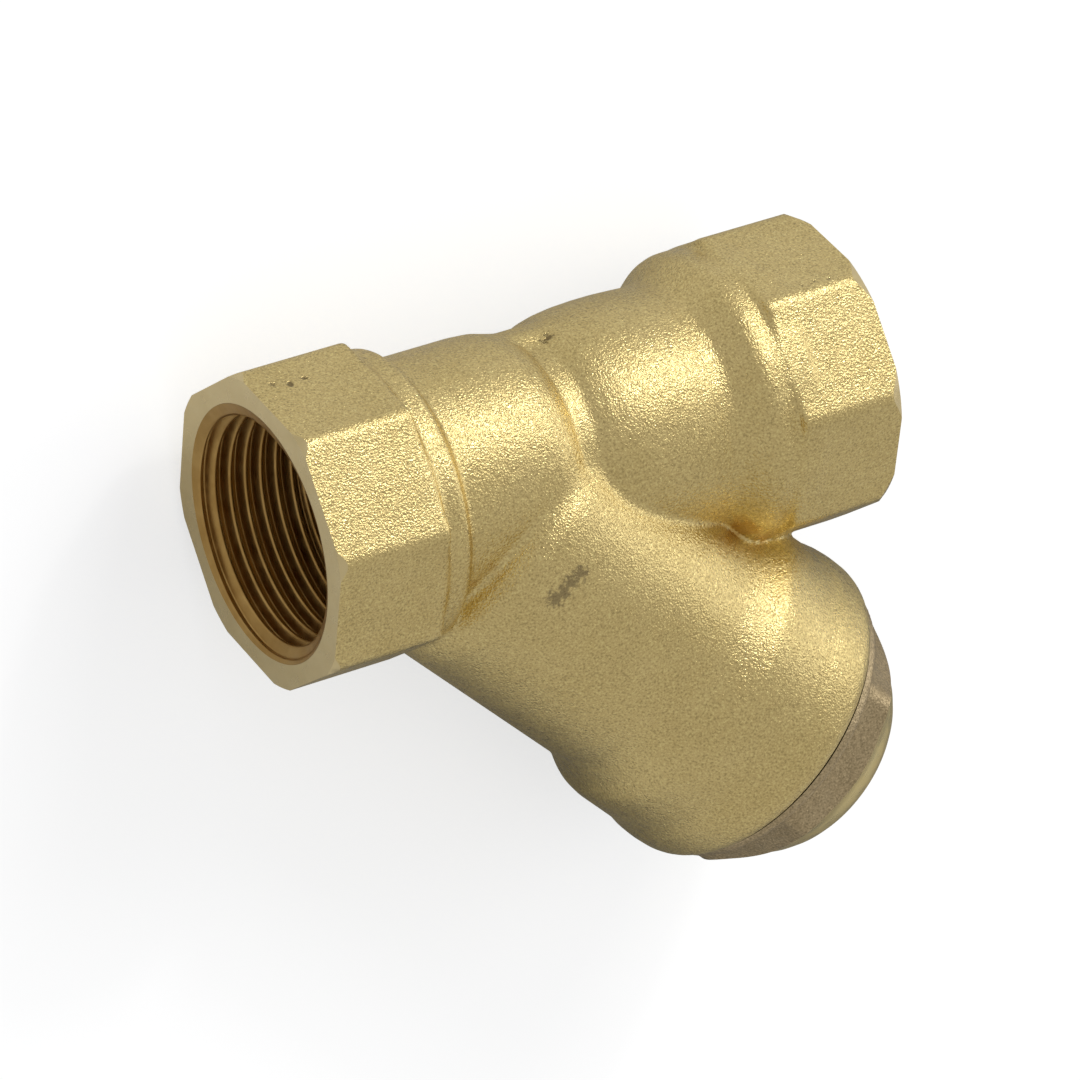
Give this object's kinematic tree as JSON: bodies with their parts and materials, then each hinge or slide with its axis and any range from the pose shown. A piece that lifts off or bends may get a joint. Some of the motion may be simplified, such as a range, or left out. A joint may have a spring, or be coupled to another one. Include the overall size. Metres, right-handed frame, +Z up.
{
  "type": "magnetic y-strainer",
  "caption": "Brass y-shaped pipe strainer with octagonal threaded ends, a screw cap on its branch, a pull-out screen and a magnet stack on the cap.",
  "frame": {"origin": "centre of the inlet face, on the axis of the flow", "axes": "+X along the flow from inlet to outlet, +Z up and square to the branch as the strainer lies on its side, branch towards +X and -Y"},
  "size_m": [0.0694, 0.067, 0.036],
  "materials": {
    "cast_brass": "shot-blasted casting, satin where turned",
    "cap_brass": "dull casting with a bright turned land",
    "gasket_rubber": "matt",
    "screen_steel": "bright sheet",
    "rim_steel": "bright",
    "stem_steel": "turned",
    "pole_steel": "turned",
    "magnet": "nickel plated"
  },
  "bodies": {
    "strainer_body": {"body": "cast_brass"},
    "basket": {"screen_sheet": "screen_steel", "screen_top_rim": "rim_steel", "screen_bottom_rim": "rim_steel"},
    "seal": {"cap_gasket": "gasket_rubber"},
    "cap_set": {"cap": "cap_brass", "magnet_stem": "stem_steel", "stem_washer": "stem_steel", "stem_nut": "stem_steel", "pole_plate_1": "pole_steel", "pole_plate_2": "pole_steel", "pole_plate_3": "pole_steel", "pole_plate_4": "pole_steel", "pole_plate_5": "pole_steel", "pole_plate_6": "pole_steel", "ring_magnet_1": "magnet", "ring_magnet_2": "magnet", "ring_magnet_3": "magnet", "ring_magnet_4": "magnet", "ring_magnet_5": "magnet"}
  },
  "joints": [
    {"name": "basket_pull", "type": "slide", "parent": "strainer_body", "child": "basket", "axis": [0.7071, -0.7071, 0], "range_m": [0, 0.065]},
    {"name": "cap_advance", "type": "slide", "parent": "basket", "child": "seal", "axis": [0.7071, -0.7071, 0], "range_m": [0, 0.0076]},
    {"name": "cap_turn", "type": "hinge", "parent": "seal", "child": "cap_set", "pos_m": [0.05408, -0.03458, 0], "axis": [0.7071, -0.7071, 0], "range_deg": [0, 1800]}
  ],
  "couplings": [
    {"joint": "cap_advance", "follows": "cap_turn", "m_per_rad": 0.00023873}
  ]
}
